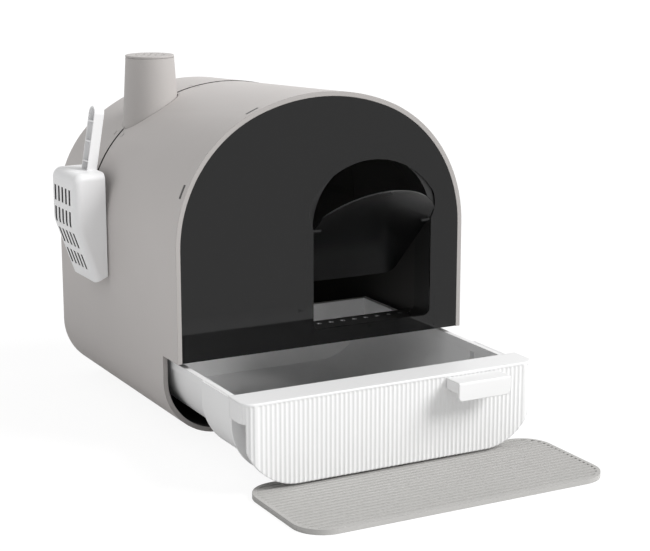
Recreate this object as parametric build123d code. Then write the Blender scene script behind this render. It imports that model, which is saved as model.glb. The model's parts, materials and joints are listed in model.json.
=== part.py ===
from build123d import *
import os
from math import atan2, cos, degrees, radians, sin, sqrt

os.makedirs("parts", exist_ok=True)

# A covered litter box with a pull-out drawer. Millimetres, +Z up, -Y towards the cat's entry.
# The origin is on the floor, under the middle of the casing.

# ---- driving dimensions: casing and hood ----
SHELL_WIDTH = 428.0
SHELL_DEPTH = 437.0
SHELL_WALL = 3.5
PAD_HEIGHT = 8.0            # rubber feet lift the casing's floor off the ground
BOTTOM_RADIUS = 80.0        # long rounded edges between floor and sides
FRONT_SPRING = 270.5        # height where the straight sides turn into the arch
FRONT_SHOULDER = 187.1      # shoulder radius of the three-centre arch
FRONT_TOP = 462.9
REAR_SPRING = 262.0
REAR_SHOULDER = 160.0
REAR_TOP = 439.2
REAR_EDGE_FILLET = 5.0
RIM_WIDTH = 6.3             # width of the pale edge round the mouth
RIM_DEPTH = 15.0
SEAT_WIDTH = 4.0            # ledge inside the rim that the front panel sits on
MOUTH_DEPTH = 49.0          # how far the drawer bay is set back under the hood
MOUTH_TOP = 123.0
HOOD_SEAM = 304.0           # depth of the seam between casing and rear hood
SEAM_GAP = 2.6
HOOD_STEP = 0.8             # the hood's skin stands this much prouder than the casing's
CLEARANCE = 0.3             # general gap between separate mouldings
OVERRUN = 1.0               # cutting tools run this far past the faces they cut

# ---- front panel, entry and flap ----
PANEL_THICKNESS = 2.4
PANEL_LIFT = 0.5            # gap between the drawer bay's roof and the panel
ENTRY_X = 73.8              # the entry sits right of the middle
ENTRY_HALF = 90.65
ENTRY_SILL = 144.8
ENTRY_CORNER = 11.0
ENTRY_TOP = 368.3
ENTRY_ARCH_RADIUS = 112.0
ENTRY_BULGE = 96.5          # half width at the widest point of the keyhole
BULGE_LOW = 281.0
BULGE_MID = 305.0
ARCH_HALF = 94.0            # half width where the keyhole's arch starts
FRAME_WIDTH = 9.0
FRAME_DEPTH = 12.0
FRAME_TOP = 372.0
SLEEVE_WALL = 2.5           # the thin tunnel that carries on behind the frame
SLEEVE_DEPTH = 40.0
SLEEVE_TOE = 1.0            # thickness of the sleeve's feet where their hollow corners run out
FRAME_EAR_HEIGHTS = [190.0, 262.0]
HINGE_Z = 278.5
HINGE_DEPTH = 5.5
PIN_RADIUS = 1.5
PIN_REACH = 6.0             # how far each pin enters the frame
PIN_HOLD = 10.0             # how far each pin enters the flap
PIN_CLEARANCE = 0.05
KNUCKLE_RADIUS = 3.0
KNUCKLE_GAP = 0.5           # side play between knuckle and frame
FLAP_THICKNESS = 2.2
FLAP_GAP = 2.15             # between the flap's edge and the frame
FLAP_BELOW = 133.0
FLAP_CORNER = 14.0
FLAP_ABOVE = 79.0
FLAP_SHOULDER = 30.9        # height of the flap's shoulder above the hinge
FLAP_SHOULDER_NARROWING = 3.3   # the flap's top is this much narrower, each side
FLAP_REST = 46.0            # the flap is shown pushed inwards by this angle

# ---- entry step ----
STEP_DROP = 6.8             # the step lies this far below the entry's sill
STEP_PLATE = 2.5
STEP_REACH = 66.0
STEP_SKIRT_DEPTH = 8.0
STEP_SKIRT = 13.0
STEP_HOLES = 7
STEP_PITCH = 18.3
STEP_HOLE_RADIUS = 2.2
STEP_HOLE_DEPTH = 51.0
STEP_RIB = 2.4

# ---- drawer ----
DRAWER_OUT = 189.0          # the drawer is shown pulled out by this much
FRONT_GAP = 3.6             # the front block is this much narrower than the casing, each side
FRONT_LIFT = 2.0            # and this much higher than the casing's underside
FRONT_DROP = 3.5            # the block's top lies this far below the bay's roof
FRONT_RADIUS = 75.0
FRONT_BLOCK = 46.0
FRONT_CORNER = 17.0
FRONT_PLATE = 6.0
FRONT_SKIN = 3.0
CHEEK_HEIGHT = 26.5
FLUTE_PITCH = 6.3
FLUTE_DEPTH = 0.75
FLUTE_SHARE = 0.8           # share of the pitch that a groove is wide
FLUTE_DROP = 3.4            # the flutes end this far below the block's top
CORNER_FLUTES = 4
LEDGE_FILLET = 1.6
FLANGE = 3.5
FLANGE_INSET = 2.0
NECK_GAP = 3.0              # running gap round the neck in the casing's mouth
NECK_LIFT = 2.0
NECK_LENGTH = 90.0
TUB_GAP = 9.0               # gap round the tub in the casing's mouth
TUB_LIFT = 9.0
TUB_WALL = 2.5
TUB_REAR_GAP = 3.5          # gap behind the closed tub
TUB_RIM_DROP = 5.0          # the tub's rim lies this far below the block's top
TUB_RIM_HEIGHT = 11.0
TUB_RIM_OUT = 2.6
TUB_RIM_IN = 2.4
RUNNER_X = 95.0
RUNNER_WIDTH = 16.0
RUNNER_GAP = 4.0            # gap between the closed drawer's neck and the runners
RUNNER_SHORT = 15.0         # the runners end this far before the closed tub's rear
RUNNER_FILLET = 2.0
BOSS_WIDE_X = 150.0
BOSS_NARROW_X = 120.0
BOSS_HIGH = 98.0
BOSS_LOW = 45.0

# ---- finger tab on the drawer ----
TAB_LEFT = 73.6
TAB_RIGHT = 151.0
TAB_REACH = 30.5
TAB_DROP = 4.6              # the tab's shelf lies this far below the block's top
TAB_LIP = 24.0
TAB_THICKNESS = 4.0
TAB_CORNER = 6.0
TAB_GUSSET = 14.0           # height of the end walls
TAB_END = 3.0               # their thickness
TAB_PEG_RADIUS = 2.5
TAB_PEG_INSET = 15.5

# ---- chimney ----
CHIMNEY_X = -118.2
CHIMNEY_BASE_Z = 380.0       # well inside the casing's crown
CHIMNEY_BASE_RADIUS = 40.9
CHIMNEY_TOP_Z = 486.8
CHIMNEY_TOP_RADIUS = 34.4
CHIMNEY_WALL = 3.0
FILTER_SEAT_DROP = 30.8     # the grille's seat lies this far below the chimney's top
FILTER_HEIGHT = 12.0
GRILLE_THICKNESS = 2.0
GRILLE_LEDGE = 4.0
GRILLE_SLOT = 3.0
GRILLE_PITCH = 8.0
GRILLE_SPAN = 1.3           # slot length as a share of the grille's radius
CAP_LID = 2.9
CAP_FILLET = 1.0
CAP_SKIRT = 9.0
CAP_WALL = 2.0
CAP_HOLE_RADIUS = 1.7
CAP_RINGS = [(10.0, 6), (20.0, 12)]

# ---- scoop and its hook ----
SCOOP_DEPTH = 283.5         # middle of the scoop, measured back from the front panel
SCOOP_WIDTH = 95.0
SCOOP_THROW = 45.0          # how far the basket stands off the wall
SCOOP_WALL_GAP = 2.3
SCOOP_TOP = 338.0
SCOOP_BEND = 265.0          # below this the slotted face slopes in to the lip
SCOOP_BOTTOM = 184.0
SCOOP_LIP = 17.0
SCOOP_LIP_RISE = 8.0        # the lip is this much higher at the wall than at its tip
SCOOP_SKIN = 1.6
SCOOP_CORNER = 14.0         # rounding of the basket's top edge
SCOOP_EDGE = 10.0           # rounding of its long side edges
SCOOP_BEND_RADIUS = 30.0
SLOT_ROWS = 4
SLOT_COLUMNS = 5
SLOT_COLUMN_PITCH = 14.2
SLOT_ROW_PITCH = 30.6
SLOT_TOP_GAP = 34.5         # from the basket's top to the middle of the first row
SLOT_SHIFT = 2.0            # the slots sit this much further back than the basket's middle
SLOT_LENGTH = 22.0
SLOT_WIDTH = 6.4
GRIP_LENGTH = 88.0
GRIP_WIDTH = 22.5
GRIP_DEPTH = 14.0
GRIP_SHIFT = 4.5            # the handle sits this much further forward than the basket's middle
GRIP_LEAN = 9.8
GRIP_SKIN = 1.8
GRIP_ROWS = 3               # ladder ribs across the handle
GRIP_RIB_PITCH = 28.0
GRIP_FIRST_RIB = 11.0       # height of the lowest rib above the basket
GRIP_RIB = 2.0
GRIP_ROOT = 8.0             # the handle's foot starts this far below the basket's top
HOOK_WIDTH = 34.0
HOOK_REACH = 14.0
HOOK_PLATE = 3.0
HOOK_HEIGHT = 44.0
HOOK_LIP = 7.0
HOOK_SCREW_SPREAD = 9.0
HOOK_SCREW_RISE = 8.0
HOOK_SCREW_LENGTH = 7.0

# ---- mat ----
MAT_X = 13.7
MAT_WIDTH = 431.0
MAT_FRONT = 336.0           # how far the mat's front edge lies ahead of the front panel
MAT_LENGTH = 176.0
MAT_HEIGHT = 6.5
MAT_CORNER = 40.0
MAT_RIB_PITCH = 8.6
MAT_RIB_HEIGHT = 1.1
MAT_BORDER = 5.0

# ---- feet ----
PAD_RADIUS = 12.0
PAD_SIDE_GAP = 15.0         # from the rounded bottom edge to a foot
PAD_FRONT_INSET = 35.0
PAD_REAR_INSET = 37.0

# ---- fasteners ----
SCREW_RADIUS = 1.3
SCREW_HEAD_RADIUS = 3.0
SCREW_HEAD = 1.8
SCREW_GRIP = 10.0           # how far a drawer screw bites into its boss
BOSS_RADIUS = 4.2
BOSS_HEIGHT = 6.6
BOSS_BORE_SPARE = 2.0       # the blind bore goes this much deeper than the screw
EAR_THICKNESS = 3.0
CLIP_LENGTH = 18.0
PANEL_CLIP_THICKNESS = 5.0
HOOD_PEG_THICKNESS = 3.0
CLIP_ARM = 2.0
PANEL_CLIP_ANGLES = [23.6, 67.2]
HOOD_CLIP_ANGLES = [38.0, 82.0]
HOOD_CLIP_SPREAD = 13.0
STRAP_GAP = 1.5             # the hood clips' straps lie this far inside the wall

# ---- places worked out from the sizes ----
SHELL_HALF = SHELL_WIDTH / 2
FRONT_Y = -SHELL_DEPTH / 2
FLOOR_TOP = PAD_HEIGHT + SHELL_WALL
INNER_HALF = SHELL_HALF - RIM_WIDTH
MOUTH_BOTTOM = PAD_HEIGHT + RIM_WIDTH
PANEL_BOTTOM = MOUTH_TOP + PANEL_LIFT
STEP_TOP = ENTRY_SILL - STEP_DROP
FLAP_HALF = ENTRY_HALF - FLAP_GAP
FLAP_SHOULDER_HALF = FLAP_HALF - FLAP_SHOULDER_NARROWING
FRONT_HALF = SHELL_HALF - FRONT_GAP
FRONT_BOTTOM = PAD_HEIGHT + FRONT_LIFT
FRONT_TOP_Z = MOUTH_TOP - FRONT_DROP
NECK_HALF = INNER_HALF - NECK_GAP
NECK_BOTTOM = MOUTH_BOTTOM + NECK_LIFT
NECK_END = FRONT_BLOCK + NECK_LENGTH
TUB_HALF = INNER_HALF - TUB_GAP
TUB_BOTTOM = MOUTH_BOTTOM + TUB_LIFT
TUB_REAR = SHELL_DEPTH - SHELL_WALL - TUB_REAR_GAP
TUB_RIM_Z = FRONT_TOP_Z - TUB_RIM_DROP
TAB_TOP = FRONT_TOP_Z - TAB_DROP
TAB_PEG_Z = TAB_TOP - TAB_PEG_RADIUS - CLEARANCE
CHIMNEY_DEPTH = HOOD_SEAM   # the chimney stands across the seam
FILTER_SEAT_Z = CHIMNEY_TOP_Z - FILTER_SEAT_DROP
SCOOP_WALL_X = -SHELL_HALF - SCOOP_WALL_GAP
HOOK_TOP = SCOOP_TOP - SCOOP_SKIN - CLEARANCE


def at(depth):
    """The Y of a place measured back from the front panel's face."""
    return FRONT_Y + depth


def upright(y):
    """A plane across the box at y: its local x is X and its local y is Z."""
    return Plane(origin=(0, y, 0), x_dir=(1, 0, 0), z_dir=(0, -1, 0))


def thick(face, depth):
    """A face on an upright plane, thickened towards the rear."""
    return extrude(face, amount=depth, dir=(0, 1, 0))


def slab(x0, x1, y0, y1, z0, z1):
    """A block between two corners."""
    middle = Pos((x0 + x1) / 2, (y0 + y1) / 2, (z0 + z1) / 2)
    return middle * Box(x1 - x0, y1 - y0, z1 - z0)


def rod(x, z, y0, y1, radius):
    """A round bar along Y."""
    return Pos(x, (y0 + y1) / 2, z) * Rot(90, 0, 0) * Cylinder(radius, y1 - y0)


def arch_edges(half, spring, shoulder, top):
    """A three-centre arch from right to left: shoulder, crown, shoulder."""
    rise = top - spring
    offset = half - shoulder
    crown = (offset**2 + rise**2 - shoulder**2) / (2 * (rise - shoulder))
    crown_z = top - crown
    turn = degrees(atan2(spring - crown_z, offset))
    return [
        CenterArc((offset, spring), shoulder, 0, turn),
        CenterArc((0, crown_z), crown, turn, 180 - 2 * turn),
        CenterArc((-offset, spring), shoulder, 180 - turn, turn),
    ]


def tunnel_face(y, inset, spring, shoulder, top):
    """The casing's whole cross-section at y, pulled in by an inset all round."""
    half = SHELL_HALF - inset
    low = PAD_HEIGHT + inset
    radius = BOTTOM_RADIUS - inset
    flat = half - radius
    edges = arch_edges(half, spring, shoulder - inset, top - inset)
    edges += [
        Line((-half, spring), (-half, low + radius)),
        CenterArc((-flat, low + radius), radius, 180, 90),
        Line((-flat, low), (flat, low)),
        CenterArc((flat, low + radius), radius, 270, 90),
        Line((half, low + radius), (half, spring)),
    ]
    return upright(y) * make_face(edges)


def tunnel(inset, start, end):
    """The tapering body of the casing between two depths, as one solid."""
    faces = []
    for depth in (start, end):
        share = depth / SHELL_DEPTH
        spring = FRONT_SPRING + (REAR_SPRING - FRONT_SPRING) * share
        shoulder = FRONT_SHOULDER + (REAR_SHOULDER - FRONT_SHOULDER) * share
        top = FRONT_TOP + (REAR_TOP - FRONT_TOP) * share
        faces.append(tunnel_face(at(depth), inset, spring, shoulder, top))
    return loft(faces, ruled=True)


def trough_face(y, half, low, high, radius):
    """A D-shaped section: flat top, straight sides and large bottom corners."""
    flat = half - radius
    edges = [
        Line((half, high), (-half, high)),
        Line((-half, high), (-half, low + radius)),
        CenterArc((-flat, low + radius), radius, 180, 90),
        Line((-flat, low), (flat, low)),
        CenterArc((flat, low + radius), radius, 270, 90),
        Line((half, low + radius), (half, high)),
    ]
    return upright(y) * make_face(edges)


def trough(start, end, half, low, high, radius):
    return thick(trough_face(at(start), half, low, high, radius), end - start)


def on_arch(angle, side, inset=0.0):
    """A point of the front arch's shoulder circle; side is +1 right, -1 left."""
    offset = SHELL_HALF - FRONT_SHOULDER
    radius = FRONT_SHOULDER - inset
    x = side * (offset + radius * cos(radians(angle)))
    return x, FRONT_SPRING + radius * sin(radians(angle))


def arch_block(angle, side, start, end, length, inner, outer):
    """A block on the arch: its long side follows the arch, inner and outer are insets."""
    x, z = on_arch(angle, side, (inner + outer) / 2)
    turn = -angle if side > 0 else angle - 180
    place = Pos(x, (at(start) + at(end)) / 2, z) * Rot(0, turn, 0)
    return place * Box(inner - outer, end - start, length)


def screw(x, z, head_y, length):
    """A pan-head screw along Y, with its head towards the rear."""
    shank = rod(x, z, head_y - length, head_y, SCREW_RADIUS)
    head = rod(x, z, head_y, head_y + SCREW_HEAD, SCREW_HEAD_RADIUS)
    return shank + head


# ---------------------------------------------------------------- casing and rear hood
def outer_body(step):
    """The solid tunnel, its skin standing proud by a step."""
    body = tunnel(-step, 0, SHELL_DEPTH)
    back_edges = body.faces().sort_by(Axis.Y)[-1].edges()
    return fillet(back_edges, REAR_EDGE_FILLET)


def hollow_body(step):
    """The thin-walled tunnel with its closed back, its rim and the ledge for the panel."""
    body = outer_body(step) - tunnel(SHELL_WALL, RIM_DEPTH, SHELL_DEPTH - SHELL_WALL)
    body -= tunnel(RIM_WIDTH, 0, PANEL_THICKNESS + CLEARANCE)
    body -= tunnel(RIM_WIDTH + SEAT_WIDTH, 0, RIM_DEPTH)
    return body


def drawer_bay():
    """The space that is cut out of the casing's front for the drawer's front block."""
    half = SHELL_HALF + OVERRUN
    return slab(-half, half, at(-OVERRUN), at(MOUTH_DEPTH), 0, MOUTH_TOP)


def mouth_ring():
    """The thick D-shaped lip round the drawer's mouth."""
    start = MOUTH_DEPTH
    end = MOUTH_DEPTH + RIM_DEPTH
    ring = trough(start, end, SHELL_HALF, PAD_HEIGHT, MOUTH_TOP, BOTTOM_RADIUS)
    ring -= trough(start, end, INNER_HALF, MOUTH_BOTTOM, MOUTH_TOP, BOTTOM_RADIUS - RIM_WIDTH)
    return ring


def hood_region(gap):
    """The block of space that belongs to the rear hood."""
    half = SHELL_HALF + HOOD_STEP + OVERRUN
    far = at(SHELL_DEPTH) + HOOD_STEP + OVERRUN
    return slab(-half, half, at(HOOD_SEAM) + gap, far, REAR_SPRING + gap, FRONT_TOP + OVERRUN)


def chimney_cone(grow):
    """The chimney's outer cone, grown all round."""
    height = CHIMNEY_TOP_Z - CHIMNEY_BASE_Z
    place = Pos(CHIMNEY_X, at(CHIMNEY_DEPTH), CHIMNEY_BASE_Z + height / 2)
    return place * Cone(CHIMNEY_BASE_RADIUS + grow, CHIMNEY_TOP_RADIUS + grow, height)


def chimney_bore():
    """The wide bore for cap, filter and grille, over a narrower one that leaves a ledge."""
    axis = Pos(CHIMNEY_X, at(CHIMNEY_DEPTH), 0)
    wide = CHIMNEY_TOP_RADIUS - CHIMNEY_WALL
    upper = CHIMNEY_TOP_Z - FILTER_SEAT_Z + OVERRUN
    lower = FILTER_SEAT_Z - CHIMNEY_BASE_Z + OVERRUN
    bore = axis * Pos(0, 0, FILTER_SEAT_Z + upper / 2) * Cylinder(wide, upper)
    return bore + axis * Pos(0, 0, FILTER_SEAT_Z - lower / 2) * Cylinder(wide - GRILLE_LEDGE, lower)


def clip_windows():
    """The slots that show the panel's clips, near the front edge."""
    windows = []
    start = RIM_DEPTH - PANEL_CLIP_THICKNESS - 2 * CLEARANCE
    deep = RIM_WIDTH + SEAT_WIDTH + CLIP_ARM
    for side in (-1, 1):
        for angle in PANEL_CLIP_ANGLES:
            length = CLIP_LENGTH + 2 * CLEARANCE
            windows.append(
                arch_block(angle, side, start, RIM_DEPTH + CLEARANCE, length, deep, -OVERRUN)
            )
    return windows


def peg_depths():
    """Depths of the hood clips' pegs, in front of the seam and behind it."""
    return [HOOD_SEAM - HOOD_CLIP_SPREAD, HOOD_SEAM + HOOD_CLIP_SPREAD]


def peg_windows(depth):
    """The holes for one row of pegs, from well inside the wall to outside it."""
    windows = []
    half = HOOD_PEG_THICKNESS / 2 + CLEARANCE
    length = 2 * HOOD_PEG_THICKNESS + 2 * CLEARANCE
    for side in (-1, 1):
        for angle in HOOD_CLIP_ANGLES:
            outer = local_inset(angle, depth) - HOOD_STEP - OVERRUN
            inner = outer + 2 * SHELL_WALL + HOOD_STEP + OVERRUN
            windows.append(
                arch_block(angle, side, depth - half, depth + half, length, inner, outer)
            )
    return windows


def local_inset(angle, depth):
    """How far the tapering arch lies inside the front arch at this angle and depth."""
    share = depth / SHELL_DEPTH
    spring = FRONT_SPRING + (REAR_SPRING - FRONT_SPRING) * share
    shoulder = FRONT_SHOULDER + (REAR_SHOULDER - FRONT_SHOULDER) * share
    top = FRONT_TOP + (REAR_TOP - FRONT_TOP) * share
    rise = top - spring
    offset = SHELL_HALF - shoulder
    crown = (offset**2 + rise**2 - shoulder**2) / (2 * (rise - shoulder))
    crown_z = top - crown
    base_x = SHELL_HALF - FRONT_SHOULDER
    reach = FRONT_SHOULDER
    for _ in range(30):
        x = base_x + reach * cos(radians(angle))
        z = FRONT_SPRING + reach * sin(radians(angle))
        if atan2(z - crown_z, x) > atan2(spring - crown_z, offset):
            over = sqrt(x**2 + (z - crown_z) ** 2) - crown
        else:
            over = sqrt((x - offset) ** 2 + (z - spring) ** 2) - shoulder
        reach -= over
    return FRONT_SHOULDER - reach


def casing():
    body = hollow_body(0) - drawer_bay()
    body += mouth_ring()
    body -= hood_region(-SEAM_GAP / 2)
    body -= chimney_cone(SEAM_GAP / 2)
    for window in clip_windows() + peg_windows(peg_depths()[0]):
        body -= window
    for hole in hook_screw_holes():
        body -= hole
    return body


def rear_hood():
    body = hollow_body(HOOD_STEP) & hood_region(SEAM_GAP / 2)
    body += chimney_cone(0) - tunnel(SHELL_WALL, RIM_DEPTH, SHELL_DEPTH - SHELL_WALL)
    body -= chimney_bore()
    for window in peg_windows(peg_depths()[1]):
        body -= window
    for hole in hook_screw_holes():
        body -= hole
    return body


# ---------------------------------------------------------------- front panel and entry
def keyhole_face(y):
    """The entry's outline: straight legs, a small bulge and a wide arch."""
    low = ENTRY_SILL
    corner = ENTRY_CORNER
    half = ENTRY_HALF
    centre_z = ENTRY_TOP - ENTRY_ARCH_RADIUS
    arch_z = centre_z + sqrt(ENTRY_ARCH_RADIUS**2 - ARCH_HALF**2)
    edges = [
        Line((half, low + corner), (half, BULGE_LOW)),
        ThreePointArc((half, BULGE_LOW), (ENTRY_BULGE, BULGE_MID), (ARCH_HALF, arch_z)),
        ThreePointArc((ARCH_HALF, arch_z), (0, ENTRY_TOP), (-ARCH_HALF, arch_z)),
        ThreePointArc((-ARCH_HALF, arch_z), (-ENTRY_BULGE, BULGE_MID), (-half, BULGE_LOW)),
        Line((-half, BULGE_LOW), (-half, low + corner)),
        CenterArc((-half + corner, low + corner), corner, 180, 90),
        Line((-half + corner, low), (half - corner, low)),
        CenterArc((half - corner, low + corner), corner, 270, 90),
    ]
    return Pos(ENTRY_X, 0, 0) * (upright(y) * make_face(edges))


def frame_ears():
    """Fixing places of the entry frame, as distances from the entry's middle."""
    reach = ENTRY_HALF + FRAME_WIDTH + BOSS_RADIUS + CLEARANCE
    return [(side * reach, z) for z in FRAME_EAR_HEIGHTS for side in (-1, 1)]


def step_ears():
    """Fixing places of the entry step."""
    reach = ENTRY_HALF + FRAME_WIDTH - BOSS_RADIUS
    z = STEP_TOP - STEP_PLATE - BOSS_RADIUS
    return [(-reach, z), (reach, z)]


def front_panel():
    half = INNER_HALF - CLEARANCE
    top = FRONT_TOP - RIM_WIDTH - CLEARANCE
    shoulder = FRONT_SHOULDER - RIM_WIDTH - CLEARANCE
    edges = arch_edges(half, FRONT_SPRING, shoulder, top)
    edges += [
        Line((-half, FRONT_SPRING), (-half, PANEL_BOTTOM)),
        Line((-half, PANEL_BOTTOM), (half, PANEL_BOTTOM)),
        Line((half, PANEL_BOTTOM), (half, FRONT_SPRING)),
    ]
    plate = thick(upright(at(0)) * make_face(edges), PANEL_THICKNESS)
    panel = plate - thick(keyhole_face(at(-OVERRUN)), PANEL_THICKNESS + 2 * OVERRUN)
    back = at(PANEL_THICKNESS)
    tip = back + BOSS_HEIGHT
    for x, z in frame_ears() + step_ears():
        panel += rod(ENTRY_X + x, z, back - PANEL_THICKNESS / 2, tip, BOSS_RADIUS)
        panel -= rod(ENTRY_X + x, z, back, tip + OVERRUN, SCREW_RADIUS + PIN_CLEARANCE)
    return panel


def arch_frame_face(y, grow, low):
    """A plain round-headed arch that stands on its two legs."""
    half = ENTRY_HALF + grow
    top = FRAME_TOP + grow
    rise = top - HINGE_Z
    radius = (half**2 + rise**2) / (2 * rise)
    centre_z = top - radius
    edges = [
        Line((half, low), (half, HINGE_Z)),
        ThreePointArc((half, HINGE_Z), (0, centre_z + radius), (-half, HINGE_Z)),
        Line((-half, HINGE_Z), (-half, low)),
        Line((-half, low), (half, low)),
    ]
    return Pos(ENTRY_X, 0, 0) * (upright(y) * make_face(edges))


def sleeve_toes(start, depth):
    """The hollow-cornered feet inside the sleeve's legs, where they stand on the step."""
    low = STEP_TOP + CLEARANCE
    corner = ENTRY_CORNER
    arc_z = low + SLEEVE_TOE + corner
    toes = []
    for side in (-1, 1):
        outer_x = side * ENTRY_HALF
        inner_x = side * (ENTRY_HALF - corner)
        mid_x = inner_x + side * corner * cos(radians(45))
        edges = [
            Line((outer_x, low), (outer_x, arc_z)),
            ThreePointArc((outer_x, arc_z), (mid_x, arc_z - corner * sin(radians(45))),
                          (inner_x, low + SLEEVE_TOE)),
            Line((inner_x, low + SLEEVE_TOE), (inner_x, low)),
            Line((inner_x, low), (outer_x, low)),
        ]
        face = Pos(ENTRY_X, 0, 0) * (upright(start) * make_face(edges))
        toes.append(thick(face, depth))
    return toes


def entry_frame():
    """The arch that carries the flap, with a thin sleeve behind it and ears for its screws."""
    start = at(PANEL_THICKNESS)
    low = STEP_TOP + CLEARANCE
    frame = thick(arch_frame_face(start, FRAME_WIDTH, low), FRAME_DEPTH)
    frame += thick(arch_frame_face(start, SLEEVE_WALL, low), SLEEVE_DEPTH)
    frame -= thick(arch_frame_face(start - OVERRUN, 0, low - OVERRUN), SLEEVE_DEPTH + 2 * OVERRUN)
    for toe in sleeve_toes(start, SLEEVE_DEPTH):
        frame += toe
    ear_start = start + BOSS_HEIGHT
    ear_end = ear_start + EAR_THICKNESS
    for x, z in frame_ears():
        inner = ENTRY_HALF + FRAME_WIDTH / 2
        side = 1 if x > 0 else -1
        x0, x1 = sorted((ENTRY_X + side * inner, ENTRY_X + x))
        frame += slab(x0, x1, ear_start, ear_end, z - BOSS_RADIUS, z + BOSS_RADIUS)
        frame += rod(ENTRY_X + x, z, ear_start, ear_end, BOSS_RADIUS)
        hole = SCREW_RADIUS + PIN_CLEARANCE
        frame -= rod(ENTRY_X + x, z, ear_start - OVERRUN, ear_end + OVERRUN, hole)
    for side in (-1, 1):
        reach = ENTRY_HALF + PIN_REACH / 2
        frame -= hinge_rod(side * reach, PIN_REACH + OVERRUN, PIN_RADIUS + PIN_CLEARANCE)
    return frame


def entry_step():
    half = ENTRY_HALF + FRAME_WIDTH
    front = at(PANEL_THICKNESS) + CLEARANCE
    back = at(STEP_REACH)
    left, right = ENTRY_X - half, ENTRY_X + half
    step = slab(left, right, front, back, STEP_TOP - STEP_PLATE, STEP_TOP)
    skirt_front = at(STEP_SKIRT_DEPTH)
    skirt_back = skirt_front + STEP_PLATE
    low = STEP_TOP - STEP_SKIRT
    step += slab(left, right, skirt_front, skirt_back, low, STEP_TOP)
    step += slab(left, right, back - STEP_PLATE, back, STEP_TOP - 2 * STEP_PLATE, STEP_TOP)
    middle = (STEP_HOLES - 1) / 2
    for index in range(STEP_HOLES):
        x = ENTRY_X + (index - middle) * STEP_PITCH
        step -= Pos(x, at(STEP_HOLE_DEPTH), STEP_TOP) * Cylinder(STEP_HOLE_RADIUS, STEP_PLATE * 4)
        step += slab(x - STEP_RIB / 2, x + STEP_RIB / 2, front, skirt_front, low, STEP_TOP)
    boss_room = at(PANEL_THICKNESS + BOSS_HEIGHT)
    for x, z in step_ears():
        step -= rod(ENTRY_X + x, z, front, skirt_back + OVERRUN, SCREW_RADIUS + PIN_CLEARANCE)
        step -= rod(ENTRY_X + x, z, front - OVERRUN, boss_room, BOSS_RADIUS + CLEARANCE)
    return step


def frame_screws():
    head_y = at(PANEL_THICKNESS + BOSS_HEIGHT + EAR_THICKNESS)
    length = EAR_THICKNESS + BOSS_HEIGHT - CLEARANCE
    return [screw(ENTRY_X + x, z, head_y, length) for x, z in frame_ears()]


def step_screws():
    head_y = at(STEP_SKIRT_DEPTH + STEP_PLATE)
    length = head_y - at(PANEL_THICKNESS) - CLEARANCE
    return [screw(ENTRY_X + x, z, head_y, length) for x, z in step_ears()]


def panel_clips():
    """Four snap hooks: an arm behind the panel and a barb that shows in its slot."""
    clips = []
    end = RIM_DEPTH - CLEARANCE
    start = end - PANEL_CLIP_THICKNESS
    for side in (-1, 1):
        for angle in PANEL_CLIP_ANGLES:
            taper = local_inset(angle, RIM_DEPTH)
            outer = RIM_WIDTH + SEAT_WIDTH + taper + 2 * CLEARANCE
            inner = outer + CLIP_ARM
            arm = arch_block(angle, side, PANEL_THICKNESS, end, CLIP_LENGTH, inner, outer)
            barb = arch_block(angle, side, start, end, CLIP_LENGTH, inner, taper + CLEARANCE)
            clips.append(arm + barb)
    return clips


def hood_clips():
    """Four straps inside the seam, each with a peg in the casing and one in the hood."""
    clips = []
    for side in (-1, 1):
        for angle in HOOD_CLIP_ANGLES:
            low = HOOD_SEAM - HOOD_CLIP_SPREAD - HOOD_PEG_THICKNESS
            high = HOOD_SEAM + HOOD_CLIP_SPREAD + HOOD_PEG_THICKNESS
            outer = local_inset(angle, high) + SHELL_WALL + STRAP_GAP
            inner = outer + CLIP_ARM
            strap = arch_block(angle, side, low, high, CLIP_LENGTH, inner, outer)
            half = HOOD_PEG_THICKNESS / 2
            for depth in peg_depths():
                flush = local_inset(angle, depth) + CLEARANCE
                strap += arch_block(
                    angle, side, depth - half, depth + half, 2 * HOOD_PEG_THICKNESS, inner, flush
                )
            clips.append(strap)
    return clips


# ---------------------------------------------------------------- flap
def hinge_rod(x, length, radius):
    """A bar along the flap's hinge line, placed from the entry's middle."""
    return Pos(ENTRY_X + x, at(HINGE_DEPTH), HINGE_Z) * Rot(0, 90, 0) * Cylinder(radius, length)


def swung(piece):
    """Turns a piece about the hinge from closed to the angle shown."""
    hinge = Axis((0, at(HINGE_DEPTH), HINGE_Z), (1, 0, 0))
    return piece.rotate(hinge, FLAP_REST)


def flap():
    half = FLAP_HALF
    low = HINGE_Z - FLAP_BELOW
    corner = FLAP_CORNER
    shoulder = (FLAP_SHOULDER_HALF, HINGE_Z + FLAP_SHOULDER)
    top = (0, HINGE_Z + FLAP_ABOVE)
    edges = [
        Line((half, low + corner), (half, HINGE_Z)),
        Line((half, HINGE_Z), shoulder),
        ThreePointArc(shoulder, top, (-shoulder[0], shoulder[1])),
        Line((-shoulder[0], shoulder[1]), (-half, HINGE_Z)),
        Line((-half, HINGE_Z), (-half, low + corner)),
        CenterArc((-half + corner, low + corner), corner, 180, 90),
        Line((-half + corner, low), (half - corner, low)),
        CenterArc((half - corner, low + corner), corner, 270, 90),
    ]
    face = Pos(ENTRY_X, 0, 0) * (upright(at(HINGE_DEPTH) - FLAP_THICKNESS / 2) * make_face(edges))
    plate = thick(face, FLAP_THICKNESS)
    knuckle_inner = half - PIN_HOLD - OVERRUN
    knuckle_outer = ENTRY_HALF - KNUCKLE_GAP
    bore_outer = knuckle_outer + OVERRUN
    for side in (-1, 1):
        middle = side * (knuckle_inner + knuckle_outer) / 2
        plate += hinge_rod(middle, knuckle_outer - knuckle_inner, KNUCKLE_RADIUS)
        middle = side * (half - PIN_HOLD + bore_outer) / 2
        plate -= hinge_rod(middle, bore_outer - half + PIN_HOLD, PIN_RADIUS)
    return swung(plate)


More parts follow.
